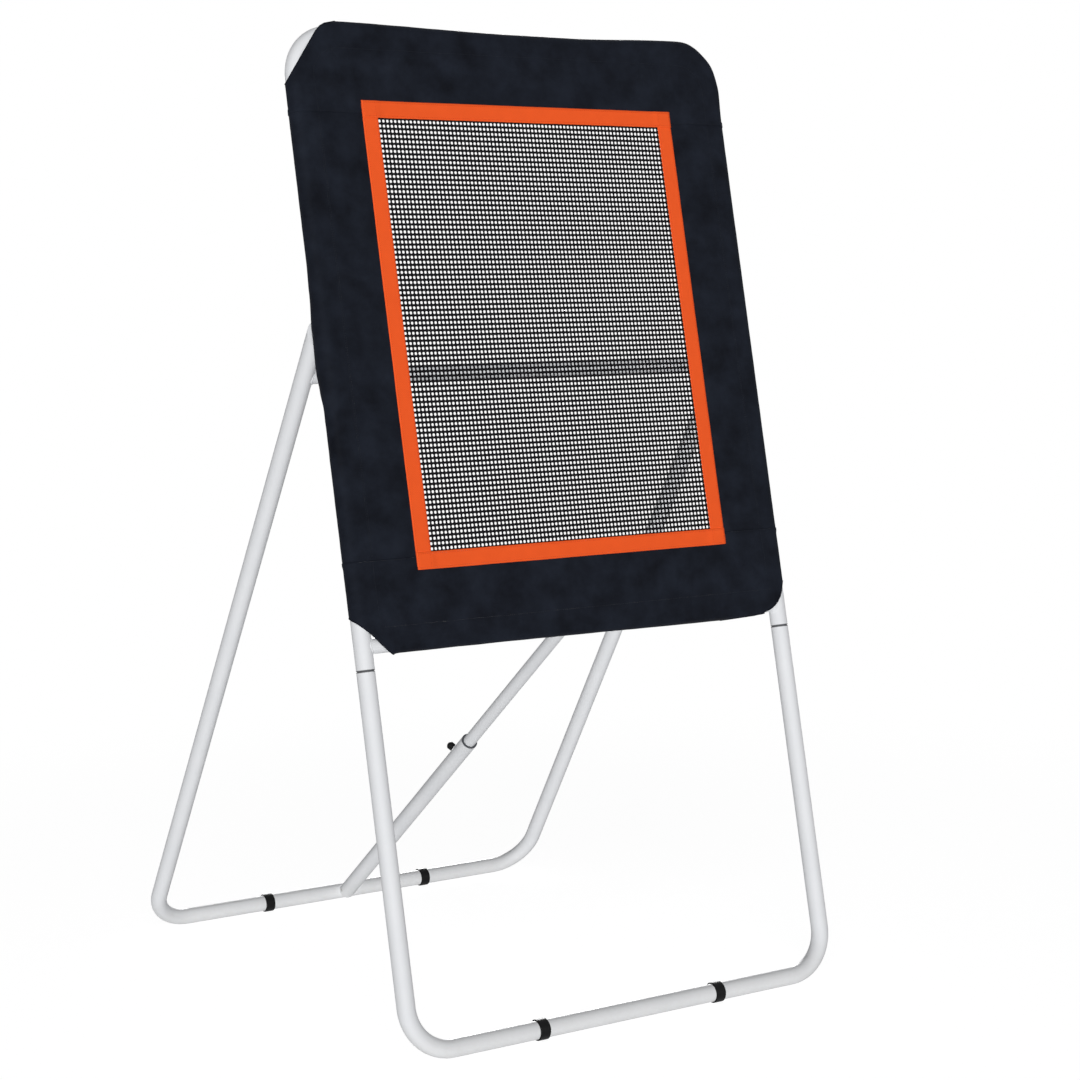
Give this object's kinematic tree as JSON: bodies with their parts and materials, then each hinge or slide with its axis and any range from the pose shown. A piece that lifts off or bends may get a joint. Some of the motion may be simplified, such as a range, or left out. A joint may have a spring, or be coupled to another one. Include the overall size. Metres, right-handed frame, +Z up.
{
  "type": "folding ball rebounder",
  "caption": "Free-standing leaning tube screen with a net in a dark cover, braced by a folding rear leg frame and a telescoping strut.",
  "frame": {"origin": "on the floor, under the middle of the four foot rings", "axes": "+Z up, +X to the right, +Y from the screen's front to the rear legs; the screen faces -Y"},
  "size_m": [1.106, 1.324, 2.0808],
  "materials": {
    "powder_coat": "light grey powder coat, semi-gloss",
    "black_plastic": "moulded, matt",
    "zinc_steel": "bright zinc plate",
    "nylon": "natural nylon",
    "cover_cloth": "woven polyester, coated",
    "orange_webbing": "woven polypropylene webbing",
    "net_cord": "knitted polyester netting"
  },
  "bodies": {
    "screen_frame": {"side_tube_left": "powder_coat", "side_tube_right": "powder_coat", "top_rail": "powder_coat", "lower_crossbar": "powder_coat", "front_leg_left": "powder_coat", "front_leg_right": "powder_coat", "front_base_bar": "powder_coat", "front_foot_left": "black_plastic", "front_foot_right": "black_plastic", "pivot_bracket_left": "powder_coat", "pivot_bracket_right": "powder_coat", "pivot_bushes": "nylon", "strut_cradle": "powder_coat", "screen_screws": "zinc_steel", "cover_top": "cover_cloth", "cover_bottom": "cover_cloth", "cover_left": "cover_cloth", "cover_right": "cover_cloth", "border_top": "orange_webbing", "border_bottom": "orange_webbing", "border_left": "orange_webbing", "border_right": "orange_webbing", "net": "net_cord"},
    "rear_frame": {"rear_leg_left": "powder_coat", "rear_leg_right": "powder_coat", "rear_base_bar": "powder_coat", "rear_brace": "powder_coat", "rear_foot_left": "black_plastic", "rear_foot_right": "black_plastic", "rear_leg_caps": "powder_coat", "pivot_bolts": "zinc_steel", "strut_lug": "powder_coat", "rear_screws": "zinc_steel"},
    "strut_outer": {"strut_outer_tube": "powder_coat", "strut_end_plug": "powder_coat", "strut_foot_pin": "zinc_steel", "guide_bush": "black_plastic", "clamp_boss": "powder_coat"},
    "strut_inner": {"strut_inner_tube": "powder_coat", "tail_slider": "black_plastic", "strut_top_cap": "black_plastic", "cradle_pin": "zinc_steel"},
    "clamp_shoe": {"clamp_shoe": "nylon"},
    "clamp_knob": {"clamp_stud": "zinc_steel", "clamp_knob": "black_plastic"}
  },
  "joints": [
    {"name": "rear_frame_fold", "type": "hinge", "parent": "screen_frame", "child": "rear_frame", "pos_m": [0, -0.30638, 1.41251], "axis": [-1, 0, 0], "range_deg": [0, 45]},
    {"name": "strut_swing", "type": "hinge", "parent": "rear_frame", "child": "strut_outer", "pos_m": [-0.015, 0.60049, 0.03196], "axis": [-1, 0, 0], "range_deg": [0, 20]},
    {"name": "strut_slide", "type": "slide", "parent": "strut_outer", "child": "strut_inner", "axis": [0, 0.7976, -0.6032], "range_m": [0, 0.257]},
    {"name": "clamp_shoe_travel", "type": "slide", "parent": "strut_outer", "child": "clamp_shoe", "axis": [-0.6428, 0.4621, 0.611], "range_m": [0, 0.0025]},
    {"name": "clamp_knob_turn", "type": "hinge", "parent": "clamp_shoe", "child": "clamp_knob", "pos_m": [-0.015, 0.01903, 0.47167], "axis": [-0.6428, 0.4621, 0.611], "range_deg": [0, 720]}
  ],
  "couplings": [
    {"joint": "strut_swing", "follows": "rear_frame_fold", "ratio": 0.43708},
    {"joint": "strut_slide", "follows": "rear_frame_fold", "m_per_rad": 0.32319},
    {"joint": "clamp_knob_turn", "follows": "clamp_shoe_travel", "rad_per_m": 5026.6}
  ]
}
